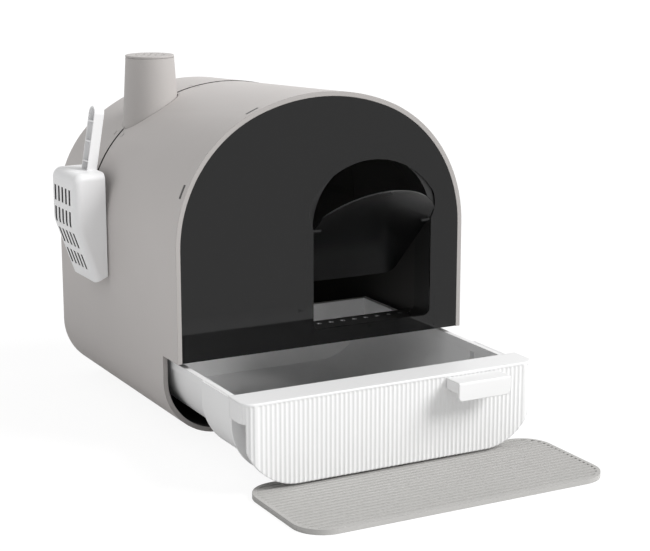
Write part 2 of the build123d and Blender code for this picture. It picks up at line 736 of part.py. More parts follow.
def flap_pins():
    pins = []
    for side in (-1, 1):
        inner = FLAP_HALF - PIN_HOLD
        outer = ENTRY_HALF + PIN_REACH - CLEARANCE
        pins.append(swung(hinge_rod(side * (inner + outer) / 2, outer - inner, PIN_RADIUS)))
    return pins


# ---------------------------------------------------------------- drawer
def pulled(piece):
    """Moves a piece of the drawer from closed to the place shown."""
    return Pos(0, -DRAWER_OUT, 0) * piece


def block_plan(inset, front, low, high):
    """The front block's plan with rounded front corners, as a solid of that height."""
    half = FRONT_HALF - inset
    corner = FRONT_CORNER - inset
    y0, y1 = at(front), at(FRONT_BLOCK)
    edges = [
        Line((-half, y1), (-half, y0 + corner)),
        CenterArc((-half + corner, y0 + corner), corner, 180, 90),
        Line((-half + corner, y0), (half - corner, y0)),
        CenterArc((half - corner, y0 + corner), corner, 270, 90),
        Line((half, y0 + corner), (half, y1)),
        Line((half, y1), (-half, y1)),
    ]
    return Pos(0, 0, low) * extrude(make_face(edges), amount=high - low)


def flute_groove():
    """One upright groove: a shallow round channel cut into a face at local y = 0."""
    half = FLUTE_PITCH / 2 * FLUTE_SHARE
    chord = Line((-half, -OVERRUN), (half, -OVERRUN))
    right = Line((half, -OVERRUN), (half, 0))
    bow = ThreePointArc((half, 0), (0, FLUTE_DEPTH), (-half, 0))
    left = Line((-half, 0), (-half, -OVERRUN))
    face = make_face([chord, right, bow, left])
    return extrude(face, amount=FRONT_TOP_Z - FLUTE_DROP, dir=(0, 0, 1))


def flute_grooves():
    """The grooves across the drawer's front and round its two upright corners."""
    flat = FRONT_HALF - FRONT_CORNER
    count = int(2 * flat / FLUTE_PITCH)
    groove = flute_groove()
    grooves = []
    for index in range(count):
        x = (index - (count - 1) / 2) * FLUTE_PITCH
        grooves.append(Pos(x, at(0), 0) * groove)
    for side in (-1, 1):
        corner = Pos(side * flat, at(FRONT_CORNER), 0)
        for index in range(CORNER_FLUTES):
            turn = side * (index + 1) * 90 / (CORNER_FLUTES + 1)
            grooves.append(corner * Rot(0, 0, turn) * Pos(0, -FRONT_CORNER, 0) * groove)
    return grooves


def drawer_front():
    """The fluted front block: a thick front plate, a ledge on top and two short cheeks."""
    outline = trough(0, FRONT_BLOCK, FRONT_HALF, FRONT_BOTTOM, FRONT_TOP_Z, FRONT_RADIUS)
    block = block_plan(0, 0, FRONT_BOTTOM, FRONT_TOP_Z) & outline
    top_edges = block.faces().sort_by(Axis.Z)[-1].edges()
    rear = at(FRONT_BLOCK) - CLEARANCE
    block = fillet([edge for edge in top_edges if edge.center().Y < rear], LEDGE_FILLET)
    inner_top = FRONT_TOP_Z - FRONT_SKIN
    inside = block_plan(FRONT_SKIN, FRONT_PLATE, 0, inner_top)
    inside &= trough(
        0, FRONT_BLOCK, FRONT_HALF - FRONT_SKIN, FRONT_BOTTOM - FRONT_PLATE, inner_top, FRONT_RADIUS
    )
    block -= inside
    cheek_bottom = FRONT_TOP_Z - CHEEK_HEIGHT
    block -= slab(-FRONT_HALF, FRONT_HALF, at(FRONT_PLATE), at(FRONT_BLOCK), 0, cheek_bottom)
    for groove in flute_grooves():
        block -= groove
    boss_end = at(FRONT_BLOCK - FLANGE)
    for x, z in drawer_bosses():
        block += rod(x, z, at(FRONT_PLATE / 2), boss_end, BOSS_RADIUS)
        depth = SCREW_GRIP + BOSS_BORE_SPARE
        block -= rod(x, z, boss_end - depth, boss_end, SCREW_RADIUS + PIN_CLEARANCE)
    block -= slab(-FRONT_HALF, FRONT_HALF, boss_end, at(FRONT_BLOCK), 0, inner_top)
    for x in tab_pegs():
        block -= rod(x, TAB_PEG_Z, at(-OVERRUN), at(FRONT_PLATE) + OVERRUN, TAB_PEG_RADIUS)
    return pulled(block)


def drawer_bosses():
    """Where the front block is screwed to the tub's flange."""
    low = [(side * BOSS_NARROW_X, BOSS_LOW) for side in (-1, 1)]
    return low + [(side * BOSS_WIDE_X, BOSS_HIGH) for side in (-1, 1)]


def drawer_tub():
    """The litter tub: a D-shaped trough with a wider neck, a flange and a rolled rim."""
    wall = TUB_WALL
    flange_start = FRONT_BLOCK - FLANGE
    gap = FRONT_SKIN + CLEARANCE
    flange = trough(
        flange_start, FRONT_BLOCK, FRONT_HALF - gap, FRONT_BOTTOM + FLANGE_INSET,
        FRONT_TOP_Z - gap, FRONT_RADIUS - gap,
    )
    neck = trough(FRONT_BLOCK, NECK_END, NECK_HALF, NECK_BOTTOM, TUB_RIM_Z, FRONT_RADIUS)
    trunk = trough(NECK_END, TUB_REAR, TUB_HALF, TUB_BOTTOM, TUB_RIM_Z, BOTTOM_RADIUS)
    tub = flange + neck + trunk
    tub -= trough(
        FRONT_BLOCK, NECK_END - wall, NECK_HALF - wall, NECK_BOTTOM + wall, TUB_RIM_Z,
        FRONT_RADIUS - wall,
    )
    tub -= trough(
        NECK_END - wall, TUB_REAR - wall, TUB_HALF - wall, TUB_BOTTOM + wall, TUB_RIM_Z,
        BOTTOM_RADIUS - wall,
    )
    rim_low = TUB_RIM_Z - TUB_RIM_HEIGHT
    rim_half = TUB_HALF + TUB_RIM_OUT
    rim_back = at(TUB_REAR + TUB_RIM_OUT)
    rim = slab(-rim_half, rim_half, at(FRONT_BLOCK), rim_back, rim_low, TUB_RIM_Z)
    mouth_half = TUB_HALF - wall - TUB_RIM_IN
    mouth_back = at(TUB_REAR - wall - TUB_RIM_IN)
    tub += rim - slab(-mouth_half, mouth_half, at(FRONT_BLOCK), mouth_back, rim_low, TUB_RIM_Z)
    for x, z in drawer_bosses():
        hole_end = at(FRONT_BLOCK) + OVERRUN
        tub -= rod(x, z, at(flange_start) - OVERRUN, hole_end, SCREW_RADIUS + PIN_CLEARANCE)
    return pulled(tub)


def drawer_screws():
    length = FLANGE + SCREW_GRIP
    return [pulled(screw(x, z, at(FRONT_BLOCK), length)) for x, z in drawer_bosses()]


def tab_pegs():
    return [TAB_LEFT + TAB_PEG_INSET, TAB_RIGHT - TAB_PEG_INSET]


def drawer_handle():
    """A finger tab: a shelf, a lip that hangs from its front and two short end walls."""
    front = at(-TAB_REACH)
    tab = slab(TAB_LEFT, TAB_RIGHT, front, front + TAB_THICKNESS, TAB_TOP - TAB_LIP, TAB_TOP)
    tab = fillet(tab.edges().filter_by(Axis.Y).group_by(Axis.Z)[0], TAB_CORNER)
    tab += slab(TAB_LEFT, TAB_RIGHT, front, at(0), TAB_TOP - TAB_THICKNESS, TAB_TOP)
    for x0, x1 in ((TAB_LEFT, TAB_LEFT + TAB_END), (TAB_RIGHT - TAB_END, TAB_RIGHT)):
        tab += slab(x0, x1, front, at(0), TAB_TOP - TAB_GUSSET, TAB_TOP)
    outer_top = tab.edges().filter_by(Axis.X).group_by(Axis.Z)[-1].sort_by(Axis.Y)[0]
    tab = fillet(outer_top, TAB_THICKNESS / 2)
    for x in tab_pegs():
        radius = TAB_PEG_RADIUS - PIN_CLEARANCE
        tab += rod(x, TAB_PEG_Z, at(-TAB_THICKNESS), at(FRONT_PLATE), radius)
    return pulled(tab)


def runner(side):
    """A low rail on the casing's floor that the tub slides on."""
    x = side * RUNNER_X
    half = RUNNER_WIDTH / 2
    top = TUB_BOTTOM - CLEARANCE
    start = at(NECK_END + RUNNER_GAP)
    rail = slab(x - half, x + half, start, at(TUB_REAR - RUNNER_SHORT), FLOOR_TOP, top)
    long_edges = rail.edges().filter_by(Axis.Y).group_by(Axis.Z)[-1]
    return fillet(long_edges, RUNNER_FILLET)


# ---------------------------------------------------------------- chimney parts
def chimney_grille():
    radius = CHIMNEY_TOP_RADIUS - CHIMNEY_WALL - CLEARANCE
    place = Pos(CHIMNEY_X, at(CHIMNEY_DEPTH), FILTER_SEAT_Z + GRILLE_THICKNESS / 2)
    disc = place * Cylinder(radius, GRILLE_THICKNESS)
    slot = Box(radius * GRILLE_SPAN, GRILLE_SLOT, GRILLE_THICKNESS * 2)
    for row in (-2, -1, 0, 1, 2):
        disc -= place * Pos(0, row * GRILLE_PITCH, 0) * slot
    return disc


def carbon_filter():
    radius = CHIMNEY_TOP_RADIUS - CHIMNEY_WALL - 2 * CLEARANCE
    low = FILTER_SEAT_Z + GRILLE_THICKNESS
    place = Pos(CHIMNEY_X, at(CHIMNEY_DEPTH), low + FILTER_HEIGHT / 2)
    return place * Cylinder(radius, FILTER_HEIGHT)


def chimney_cap():
    """A lift-off lid with rings of small holes and a skirt inside the tube."""
    low = CHIMNEY_TOP_Z + CLEARANCE
    centre = Pos(CHIMNEY_X, at(CHIMNEY_DEPTH), 0)
    lid = centre * Pos(0, 0, low + CAP_LID / 2) * Cylinder(CHIMNEY_TOP_RADIUS, CAP_LID)
    lid = fillet(lid.edges().group_by(Axis.Z)[-1], CAP_FILLET)
    radius = CHIMNEY_TOP_RADIUS - CHIMNEY_WALL - CLEARANCE
    skirt = Cylinder(radius, CAP_SKIRT) - Cylinder(radius - CAP_WALL, CAP_SKIRT + OVERRUN)
    lid += centre * Pos(0, 0, low - CAP_SKIRT / 2) * skirt
    hole = Cylinder(CAP_HOLE_RADIUS, 3 * CAP_LID)
    lid -= centre * Pos(0, 0, low) * hole
    for ring_radius, count in CAP_RINGS:
        for index in range(count):
            turn = 360 / count * index
            lid -= centre * Pos(0, 0, low) * Rot(0, 0, turn) * Pos(ring_radius, 0, 0) * hole
    return lid


# ---------------------------------------------------------------- scoop
def scoop_profile(inset):
    """The basket seen from the front: x is the distance from the casing's wall."""
    throw = SCOOP_THROW - inset
    top = SCOOP_TOP - inset
    corner = SCOOP_CORNER - inset
    lip = SCOOP_LIP - inset
    lean = degrees(atan2(throw - lip, SCOOP_BEND - SCOOP_BOTTOM))
    bend = SCOOP_BEND_RADIUS + inset
    reach = bend * sin(radians(lean / 2)) / cos(radians(lean / 2))
    bend_start = (throw, SCOOP_BEND + reach)
    bend_end = (throw - reach * sin(radians(lean)), SCOOP_BEND - reach * cos(radians(lean)))
    edges = [
        Line((0, SCOOP_BOTTOM + SCOOP_LIP_RISE), (0, top)),
        Line((0, top), (throw - corner, top)),
        CenterArc((throw - corner, top - corner), corner, 0, 90),
        Line((throw, top - corner), bend_start),
        CenterArc((throw - bend, SCOOP_BEND + reach), bend, -lean, lean),
        Line(bend_end, (lip, SCOOP_BOTTOM)),
        Line((lip, SCOOP_BOTTOM), (0, SCOOP_BOTTOM + SCOOP_LIP_RISE)),
    ]
    return make_face(edges)


def scoop_block(inset):
    """The basket's outside, or the hollow inside it, with rounded long edges."""
    width = SCOOP_WIDTH - 2 * inset
    start = at(SCOOP_DEPTH) - width / 2
    place = Plane(origin=(SCOOP_WALL_X, start, 0), x_dir=(-1, 0, 0), z_dir=(0, 1, 0))
    block = extrude(place * scoop_profile(inset), amount=width, dir=(0, 1, 0))
    ends = [block.faces().sort_by(Axis.Y)[0], block.faces().sort_by(Axis.Y)[-1]]
    wall_x = SCOOP_WALL_X - CLEARANCE
    long_edges = [edge for face in ends for edge in face.edges() if edge.center().X < wall_x]
    long_edges = [edge for edge in long_edges if edge.center().Z > SCOOP_BOTTOM + SCOOP_LIP_RISE]
    return fillet(long_edges, SCOOP_EDGE - inset)


def scoop_slots():
    """Rows of upright slots through the basket's outer face."""
    slots = []
    outer_x = SCOOP_WALL_X - SCOOP_THROW
    middle_x = outer_x + SCOOP_THROW / 2 - SCOOP_SKIN
    for row in range(SLOT_ROWS):
        z = SCOOP_TOP - SLOT_TOP_GAP - row * SLOT_ROW_PITCH
        for index in range(SLOT_COLUMNS):
            offset = (index - (SLOT_COLUMNS - 1) / 2) * SLOT_COLUMN_PITCH + SLOT_SHIFT
            place = Pos(middle_x, at(SCOOP_DEPTH) + offset, z)
            slots.append(place * Box(SCOOP_THROW, SLOT_WIDTH, SLOT_LENGTH))
    return slots


def scoop_grip():
    """The handle: a channel open to the outside, with ladder ribs across it."""
    height = GRIP_LENGTH + GRIP_ROOT
    skin = GRIP_SKIN
    lift = Pos(0, 0, height / 2 - GRIP_ROOT)
    bar = lift * Box(GRIP_DEPTH, GRIP_WIDTH, height)
    top_edges = bar.edges().filter_by(Axis.X).group_by(Axis.Z)[-1]
    bar = fillet(top_edges, GRIP_WIDTH / 2 - CLEARANCE)
    trench = lift * Pos(-skin, 0, 0) * Box(GRIP_DEPTH, GRIP_WIDTH - 2 * skin, height - 2 * skin)
    trench_top = trench.edges().filter_by(Axis.X).group_by(Axis.Z)[-1]
    bar -= fillet(trench_top, GRIP_WIDTH / 2 - skin - CLEARANCE)
    for index in range(GRIP_ROWS):
        z = GRIP_FIRST_RIB + index * GRIP_RIB_PITCH
        bar += Pos(-CLEARANCE, 0, z) * Box(GRIP_DEPTH - 2 * CLEARANCE, GRIP_WIDTH - skin, GRIP_RIB)
    foot = Pos(SCOOP_WALL_X - GRIP_DEPTH / 2, at(SCOOP_DEPTH - GRIP_SHIFT), SCOOP_TOP)
    grip = foot * Rot(0, GRIP_LEAN, 0) * bar
    half = GRIP_LENGTH
    x0, x1 = SCOOP_WALL_X - half, SCOOP_WALL_X + half
    y0, y1 = at(SCOOP_DEPTH) - half, at(SCOOP_DEPTH) + half
    return grip - slab(x0, x1, y0, y1, SCOOP_BOTTOM, SCOOP_TOP - SCOOP_SKIN)


def scoop():
    body = scoop_block(0) - scoop_block(SCOOP_SKIN)
    for slot in scoop_slots():
        body -= slot
    return body + scoop_grip()


def hook_screw_places():
    """Screws of the scoop hook, as Y and Z on the casing's left side."""
    z = HOOK_TOP - HOOK_HEIGHT + HOOK_SCREW_RISE
    return [(at(SCOOP_DEPTH + side * HOOK_SCREW_SPREAD), z) for side in (-1, 1)]


def side_rod(y, z, radius):
    """A hole or pin along X through the casing's left wall."""
    return Pos(-SHELL_HALF, y, z) * Rot(0, 90, 0) * Cylinder(radius, 4 * SHELL_WALL)


def hook_screw_holes():
    """The holes for the hook's screws, in whichever shell they fall."""
    return [side_rod(y, z, SCREW_RADIUS + PIN_CLEARANCE) for y, z in hook_screw_places()]


def scoop_hook():
    """A screwed-on hook whose arm carries the top wall of the hanging scoop."""
    y0, y1 = at(SCOOP_DEPTH - HOOK_WIDTH / 2), at(SCOOP_DEPTH + HOOK_WIDTH / 2)
    wall = -SHELL_HALF
    tip = wall - HOOK_REACH
    seat = HOOK_TOP - HOOK_LIP
    hook = slab(wall - HOOK_PLATE, wall, y0, y1, HOOK_TOP - HOOK_HEIGHT, seat)
    hook += slab(tip, wall, y0, y1, seat - HOOK_PLATE, seat)
    hook += slab(tip, tip + HOOK_PLATE, y0, y1, seat - HOOK_PLATE, HOOK_TOP)
    for y, z in hook_screw_places():
        hook -= side_rod(y, z, SCREW_RADIUS + PIN_CLEARANCE)
    return hook


def hook_screws():
    screws = []
    head_x = -SHELL_HALF - HOOK_PLATE
    length = HOOK_SCREW_LENGTH
    for y, z in hook_screw_places():
        turned = Pos(head_x, y, z) * Rot(0, 90, 0)
        shank = turned * Pos(0, 0, length / 2) * Cylinder(SCREW_RADIUS, length)
        head = turned * Pos(0, 0, -SCREW_HEAD / 2) * Cylinder(SCREW_HEAD_RADIUS, SCREW_HEAD)
        screws.append(shank + head)
    return screws


# ---------------------------------------------------------------- mat and feet
def mat():
    """A flat rubber mat with raised ribs across it."""
    y_middle = at(-MAT_FRONT) + MAT_LENGTH / 2
    base_height = MAT_HEIGHT - MAT_RIB_HEIGHT
    sheet = RectangleRounded(MAT_WIDTH, MAT_LENGTH, MAT_CORNER)
    body = Pos(MAT_X, y_middle, 0) * extrude(sheet, amount=MAT_HEIGHT)
    inner = RectangleRounded(
        MAT_WIDTH - 2 * MAT_BORDER, MAT_LENGTH - 2 * MAT_BORDER, MAT_CORNER - MAT_BORDER
    )
    count = int((MAT_LENGTH - 2 * MAT_BORDER) / MAT_RIB_PITCH)
    lines = Sketch()
    for index in range(count):
        y = (index - (count - 1) / 2) * MAT_RIB_PITCH
        lines += Pos(0, y, 0) * Rectangle(MAT_WIDTH, MAT_RIB_PITCH / 2)
    grooves = extrude(inner & lines, amount=MAT_RIB_HEIGHT + OVERRUN)
    return body - Pos(MAT_X, y_middle, base_height) * grooves


def floor_pads():
    """Rubber feet: one near each corner and one under the middle."""
    front = at(MOUTH_DEPTH + PAD_FRONT_INSET)
    back = at(SHELL_DEPTH - PAD_REAR_INSET)
    x = SHELL_HALF - BOTTOM_RADIUS - PAD_RADIUS - PAD_SIDE_GAP
    spots = [(-x, front), (x, front), (-x, back), (x, back), (0, 0)]
    pad = Pos(0, 0, PAD_HEIGHT / 2) * Cylinder(PAD_RADIUS, PAD_HEIGHT)
    return [Pos(px, py, 0) * pad for px, py in spots]


# ---------------------------------------------------------------- write every piece
def write(name, shape):
    """One STEP file for a piece, or for a group of identical pieces."""
    shapes = shape if isinstance(shape, list) else [shape]
    solids = [solid for item in shapes for solid in item.solids()]
    body = solids[0] if len(solids) == 1 else Compound(children=solids)
    body.label = name
    export_step(body, f"parts/{name}.step")


PIECES = {
    "casing": casing,
    "rear_hood": rear_hood,
    "front_panel": front_panel,
    "entry_frame": entry_frame,
    "entry_step": entry_step,
    "frame_screws": frame_screws,
    "step_screws": step_screws,
    "panel_clips": panel_clips,
    "hood_clips": hood_clips,
    "flap": flap,
    "flap_pins": flap_pins,
    "drawer_front": drawer_front,
    "drawer_tub": drawer_tub,
    "drawer_screws": drawer_screws,
    "drawer_handle": drawer_handle,
    "runner_left": lambda: runner(-1),
    "runner_right": lambda: runner(1),
    "chimney_grille": chimney_grille,
    "carbon_filter": carbon_filter,
    "chimney_cap": chimney_cap,
    "scoop": scoop,
    "scoop_hook": scoop_hook,
    "hook_screws": hook_screws,
    "mat": mat,
    "floor_pads": floor_pads,
}

for piece_name, make in PIECES.items():
    write(piece_name, make())
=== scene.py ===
import json
import math

import bmesh
import bpy
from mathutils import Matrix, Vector


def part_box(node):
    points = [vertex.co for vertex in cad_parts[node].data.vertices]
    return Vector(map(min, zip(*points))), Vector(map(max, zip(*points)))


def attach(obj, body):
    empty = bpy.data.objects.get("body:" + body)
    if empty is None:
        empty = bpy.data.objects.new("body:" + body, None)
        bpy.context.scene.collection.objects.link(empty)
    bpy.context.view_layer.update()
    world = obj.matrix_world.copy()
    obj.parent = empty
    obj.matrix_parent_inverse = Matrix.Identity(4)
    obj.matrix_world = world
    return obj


# The finished look of a covered litter box with a pull-out drawer.
# Metres, in the frame of the CAD model.
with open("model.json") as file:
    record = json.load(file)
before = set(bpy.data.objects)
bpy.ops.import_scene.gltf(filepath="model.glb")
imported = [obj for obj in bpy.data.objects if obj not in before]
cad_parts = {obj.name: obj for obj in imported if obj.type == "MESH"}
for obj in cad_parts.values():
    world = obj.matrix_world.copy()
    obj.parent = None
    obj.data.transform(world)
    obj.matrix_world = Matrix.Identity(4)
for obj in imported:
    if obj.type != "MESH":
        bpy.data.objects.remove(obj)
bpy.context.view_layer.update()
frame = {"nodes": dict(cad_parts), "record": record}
NODES = frame["nodes"]
CASING_LOW, CASING_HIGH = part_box("casing")
FRONT_Y = CASING_LOW.y

# ---- camera: fitted to the photo's perspective ----
CAMERA_PLACE = (-1.0401, FRONT_Y - 1.9404, 0.7221)
CAMERA_YAW = 28.2
CAMERA_PITCH = 12.9
CAMERA_LENS = 94.1
CAMERA_NEAR = 0.05
SENSOR_WIDTH = 36.0

# ---- light ----
WORLD_LEVEL = 0.52
KEY_LEVEL = 2.75
KEY_SOFTNESS = 30.0         # how wide the light is, in degrees
KEY_FROM = (0.60, -0.50, 0.62)

# ---- floor ----
FLOOR_HALF = 12.0
FLOOR_GREY = 0.85
FLOOR_ROUGHNESS = 0.9
FLOOR_GLOW = 1.1
FLOOR_GLOW_SHARE = 0.82     # the rest of what the camera sees is the lit floor, with its shadow

# ---- colours, linear ----
TAUPE = (0.565, 0.537, 0.523)
SMOKE = (0.004, 0.004, 0.0042)
DARK = (0.013, 0.013, 0.013)
WHITE = (0.87, 0.87, 0.87)
TUB_WHITE = (0.92, 0.92, 0.92)
SCOOP_WHITE = (0.90, 0.90, 0.905)
MAT_GREY = (0.462, 0.455, 0.442)
FOOT_BLACK = (0.03, 0.03, 0.03)
STEEL = (0.62, 0.62, 0.63)
CHARCOAL = (0.02, 0.02, 0.021)
# painted shade for the casing's inside and for the dark strips in its seam
INNER_PAINTED_SHADE = (0.040, 0.038, 0.037)
# painted shade on the faces inside the seam's gap
SEAM_PAINTED_SHADE = (0.03, 0.028, 0.027)
# painted shade on the forward face of the mouth's edge
RIM_PAINTED_SHADE = (0.41, 0.390, 0.378)
# painted shade: the chimney a little darker than the casing
CHIMNEY_PAINTED_SHADE = (0.475, 0.452, 0.439)
# painted light round the step's holes
HOLE_PAINTED_LIGHT = (0.22, 0.22, 0.225)
# painted shade on the scoop's inner faces seen through its slots
SLOT_PAINTED_SHADE = (0.10, 0.10, 0.10)

# ---- surface detail ----
CLOUD_TONE = 0.02           # how far the faint clouds change a moulding's tone
GLOSS_SPREAD = 0.05
GRAIN_STRENGTH = 0.02
BUMP_HEIGHT = 0.001
SMOKE_IOR = 1.46
SMOKE_ALPHA = 0.94

# ---- where painted shade goes on the casing ----
ARCH_CENTRE_Z = 0.27        # the arch's surfaces face away from a line at this height
INWARD = -0.004             # under this, a surface faces that line
CHIMNEY_CLEAR = 0.042       # radius about the chimney's axis that holds its whole cone
RIM_FACING = -0.8
RIM_DEPTH = 0.08
SEAM_FACING = 0.9
SEAM_REACH = 0.045          # the seam lies within this depth of the chimney's front

# ---- the row of holes in the entry's step, with painted light round each ----
HOLE_X = 0.0738
HOLE_PITCH = 0.0183
HOLE_DEPTH = 0.051
HOLE_LIGHT_RADIUS = 0.0036

# ---- the scoop's basket, where painted shade goes inside ----
SCOOP_EDGE = 0.0112
SCOOP_RIM_Z = 0.336
SLOT_FACING = -0.5

# ---- a dark strip inside the seam between the casing and the rear hood, as painted shade ----
STRIP_REACH = 0.005
STRIP_INSET = 0.0037
STRIP_THICKNESS = 0.0005
STRIP_STEPS = 120
HALF_WIDTH = 0.214
FRONT_ARCH = (0.2705, 0.1871, 0.4629)   # spring height, shoulder radius, top
REAR_ARCH = (0.262, 0.160, 0.4392)
CHIMNEY_BORE = 0.031        # the strip stops this far from the chimney's axis

# ---- places read from the CAD nodes ----
CHIMNEY_FRONT_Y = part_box("rear_hood")[0].y
SCOOP_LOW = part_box("scoop")[0]
CHIMNEY_AXIS = sum(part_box("chimney_cap"), Vector()) / 2


# ------------------------------------------------------------------ material nodes
def node_material(name):
    """A new material, with its node tree and its Principled shader."""
    material = bpy.data.materials.new(name)
    material.use_nodes = True
    tree = material.node_tree
    return material, tree, tree.nodes["Principled BSDF"]


def object_place(tree):
    """The shaded point in the piece's own space."""
    return tree.nodes.new("ShaderNodeTexCoord").outputs["Object"]


def split(tree, vector):
    """The X, Y and Z of a vector."""
    parts = tree.nodes.new("ShaderNodeSeparateXYZ")
    tree.links.new(vector, parts.inputs["Vector"])
    return parts.outputs


def surface_facing(tree):
    """The X, Y and Z of the way that the surface faces."""
    return split(tree, tree.nodes.new("ShaderNodeNewGeometry").outputs["Normal"])


def add_noise(tree, scale, detail, place):
    noise = tree.nodes.new("ShaderNodeTexNoise")
    noise.inputs["Scale"].default_value = scale
    noise.inputs["Detail"].default_value = detail
    tree.links.new(place, noise.inputs["Vector"])
    return noise.outputs["Fac"]


def add_range(tree, source, low, high):
    spread = tree.nodes.new("ShaderNodeMapRange")
    spread.inputs["To Min"].default_value = low
    spread.inputs["To Max"].default_value = high
    tree.links.new(source, spread.inputs["Value"])
    return spread.outputs["Result"]


def add_bump(tree, height, strength):
    bump = tree.nodes.new("ShaderNodeBump")
    bump.inputs["Strength"].default_value = strength
    bump.inputs["Distance"].default_value = BUMP_HEIGHT
    tree.links.new(height, bump.inputs["Height"])
    return bump


def math_node(tree, operation, first, second=None):
    """A maths node; each input is either an output socket or a plain value."""
    node = tree.nodes.new("ShaderNodeMath")
    node.operation = operation
    for index, value in enumerate((first, second)):
        if value is None:
            continue
        if isinstance(value, (int, float)):
            node.inputs[index].default_value = value
        else:
            tree.links.new(value, node.inputs[index])
    return node.outputs["Value"]


def squared(tree, value):
    return math_node(tree, "POWER", math_node(tree, "ABSOLUTE", value), 2.0)


def recolour(tree, colour, mask):
    """Mixes a second colour over the base colour where the mask is one."""
    shader = tree.nodes["Principled BSDF"]
    base = shader.inputs["Base Color"].links[0].from_socket
    mix = tree.nodes.new("ShaderNodeMix")
    mix.data_type = "RGBA"
    mix.inputs["B"].default_value = (*colour, 1)
    tree.links.new(mask, mix.inputs["Factor"])
    tree.links.new(base, mix.inputs["A"])
    tree.links.new(mix.outputs["Result"], shader.inputs["Base Color"])


# ------------------------------------------------------------------ finishes
def moulded(name, colour, roughness, grain=1400.0, edge=0.0006):
    """Moulded plastic: faint cloudy tone, fine grain in the bump and softened edges."""
    material, tree, shader = node_material(name)
    place = object_place(tree)
    cloud = add_noise(tree, 9.0, 3.0, place)
    tint = tree.nodes.new("ShaderNodeVectorMath")
    tint.operation = "SCALE"
    tint.inputs[0].default_value = colour
    shade = add_range(tree, cloud, 1 - CLOUD_TONE, 1 + CLOUD_TONE)
    tree.links.new(shade, tint.inputs["Scale"])
    tree.links.new(tint.outputs["Vector"], shader.inputs["Base Color"])
    fine = add_noise(tree, grain, 2.0, place)
    gloss = add_range(tree, fine, roughness - GLOSS_SPREAD, roughness + GLOSS_SPREAD)
    tree.links.new(gloss, shader.inputs["Roughness"])
    bump = add_bump(tree, fine, GRAIN_STRENGTH)
    bevel = tree.nodes.new("ShaderNodeBevel")
    bevel.samples = 4
    bevel.inputs["Radius"].default_value = edge
    tree.links.new(bevel.outputs["Normal"], bump.inputs["Normal"])
    tree.links.new(bump.outputs["Normal"], shader.inputs["Normal"])
    return material


def shell_plastic(name):
    """The casing's moulding, with painted shade on its inside, on the seam between its two shells
    and on the mouth's front edge, and the chimney painted a little darker as shade.
    """
    material = moulded(name, TAUPE, roughness=0.55, edge=0.0012)
    tree = material.node_tree
    spot = split(tree, object_place(tree))
    facing = surface_facing(tree)
    # the inside is where the surface faces the middle line of the casing; it is painted dark as
    # shade
    out_x = math_node(tree, "MULTIPLY", facing["X"], spot["X"])
    rise = math_node(tree, "SUBTRACT", spot["Z"], ARCH_CENTRE_Z)
    out_z = math_node(tree, "MULTIPLY", facing["Z"], rise)
    inner = math_node(tree, "LESS_THAN", math_node(tree, "ADD", out_x, out_z), INWARD)
    # the chimney is painted a little darker than the rest as shade, and the masks for the inside
    # and the seam leave it out
    flat = tree.nodes.new("ShaderNodeCombineXYZ")
    tree.links.new(spot["X"], flat.inputs["X"])
    tree.links.new(spot["Y"], flat.inputs["Y"])
    from_axis = tree.nodes.new("ShaderNodeVectorMath")
    from_axis.operation = "DISTANCE"
    from_axis.inputs[1].default_value = (CHIMNEY_AXIS.x, CHIMNEY_AXIS.y, 0)
    tree.links.new(flat.outputs["Vector"], from_axis.inputs[0])
    clear = math_node(tree, "GREATER_THAN", from_axis.outputs["Value"], CHIMNEY_CLEAR)
    recolour(tree, CHIMNEY_PAINTED_SHADE, math_node(tree, "SUBTRACT", 1.0, clear))
    # painted shade over the casing's inside, away from the chimney
    recolour(tree, INNER_PAINTED_SHADE, math_node(tree, "MULTIPLY", inner, clear))
    # the mouth's edge, which faces forwards, painted darker as shade
    ahead = math_node(tree, "LESS_THAN", facing["Y"], RIM_FACING)
    foremost = math_node(tree, "LESS_THAN", spot["Y"], FRONT_Y + RIM_DEPTH)
    recolour(tree, RIM_PAINTED_SHADE, math_node(tree, "MULTIPLY", ahead, foremost))
    # the two edges that face each other across the seam, painted dark as the shade in the gap
    off_front = math_node(tree, "SUBTRACT", spot["Y"], CHIMNEY_FRONT_Y)
    near = math_node(tree, "LESS_THAN", math_node(tree, "ABSOLUTE", off_front), SEAM_REACH)
    level = math_node(tree, "ABSOLUTE", facing["Y"])
    across = math_node(tree, "GREATER_THAN", level, SEAM_FACING)
    across = math_node(tree, "MULTIPLY", across, clear)
    recolour(tree, SEAM_PAINTED_SHADE, math_node(tree, "MULTIPLY", near, across))
    return material


def scoop_plastic(name):
    """The scoop's moulding, with painted shade on the faces that are seen through its slots."""
    material = moulded(name, SCOOP_WHITE, roughness=0.42)
    tree = material.node_tree
    spot = split(tree, object_place(tree))
    facing = surface_facing(tree)
    forward = math_node(tree, "LESS_THAN", facing["Y"], SLOT_FACING)
    behind = math_node(tree, "GREATER_THAN", spot["Y"], SCOOP_LOW.y + SCOOP_EDGE)
    below = math_node(tree, "LESS_THAN", spot["Z"], SCOOP_RIM_Z)
    shaded = math_node(tree, "MULTIPLY", math_node(tree, "MULTIPLY", forward, behind), below)
    # painted shade on the basket's inside
    recolour(tree, SLOT_PAINTED_SHADE, shaded)
    return material


